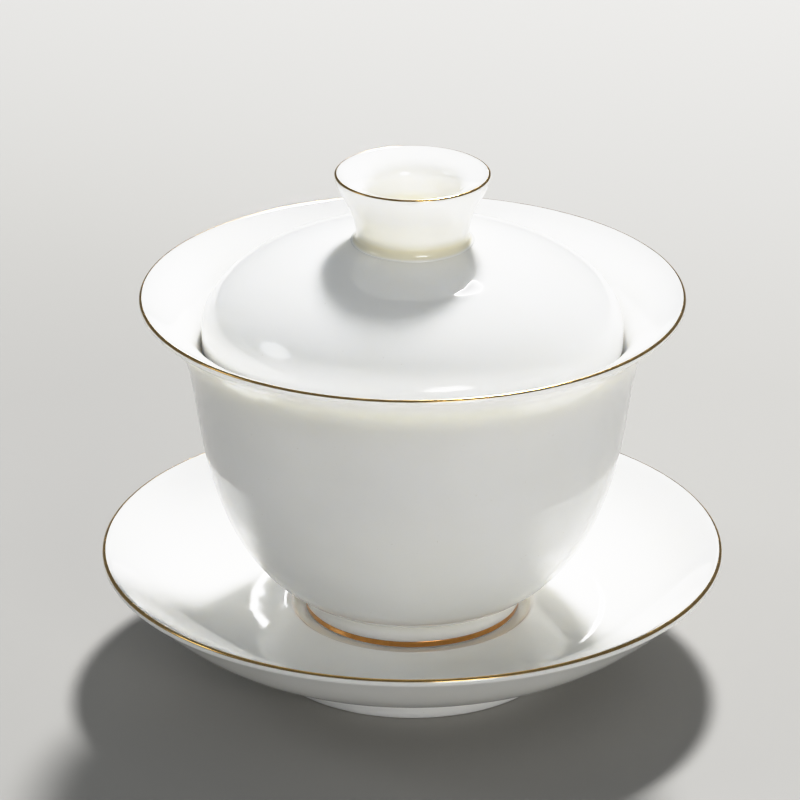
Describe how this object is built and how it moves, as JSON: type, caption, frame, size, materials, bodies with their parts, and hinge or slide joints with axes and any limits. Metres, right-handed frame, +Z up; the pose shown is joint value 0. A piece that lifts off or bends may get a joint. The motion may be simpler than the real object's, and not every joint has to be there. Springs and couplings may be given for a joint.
{
  "type": "gaiwan",
  "caption": "Porcelain gaiwan: flared tea bowl with foot ring, domed lid with a hollow ring knob, and a dished saucer with a locating well, gilded along the rims.",
  "frame": {"origin": "centre of the saucer's foot ring, on the surface it stands on", "axes": "+Z up along the common axis of saucer, bowl and lid"},
  "size_m": [0.1166, 0.1166, 0.0976],
  "materials": {
    "saucer_porcelain": "glossy clear glaze over warm white thin porcelain, bare on the foot ring",
    "bowl_porcelain": "glossy clear glaze over warm white thin porcelain, bare on the foot ring",
    "lid_porcelain": "glossy clear glaze over warm white thin porcelain",
    "knob_porcelain": "glossy clear glaze over warm white thin porcelain, glaze pooled yellowish at the root",
    "rim_gilding": "fired bright gold, slightly worn",
    "foot_gilding": "fired gold, brushed on by hand, browner than the rims"
  },
  "bodies": {
    "saucer": {"saucer": "saucer_porcelain", "saucer_rim_gilding": "rim_gilding"},
    "bowl": {"bowl": "bowl_porcelain", "bowl_rim_gilding": "rim_gilding", "bowl_foot_gilding": "foot_gilding"},
    "lid": {"lid": "lid_porcelain", "lid_knob": "knob_porcelain", "knob_rim_gilding": "rim_gilding"}
  },
  "joints": [
    {"name": "bowl_lift", "type": "slide", "parent": "saucer", "child": "bowl", "axis": [0, 0, 1], "range_m": [0, 0.06]},
    {"name": "lid_lift", "type": "slide", "parent": "bowl", "child": "lid", "axis": [0, 0, 1], "range_m": [0, 0.05]}
  ]
}
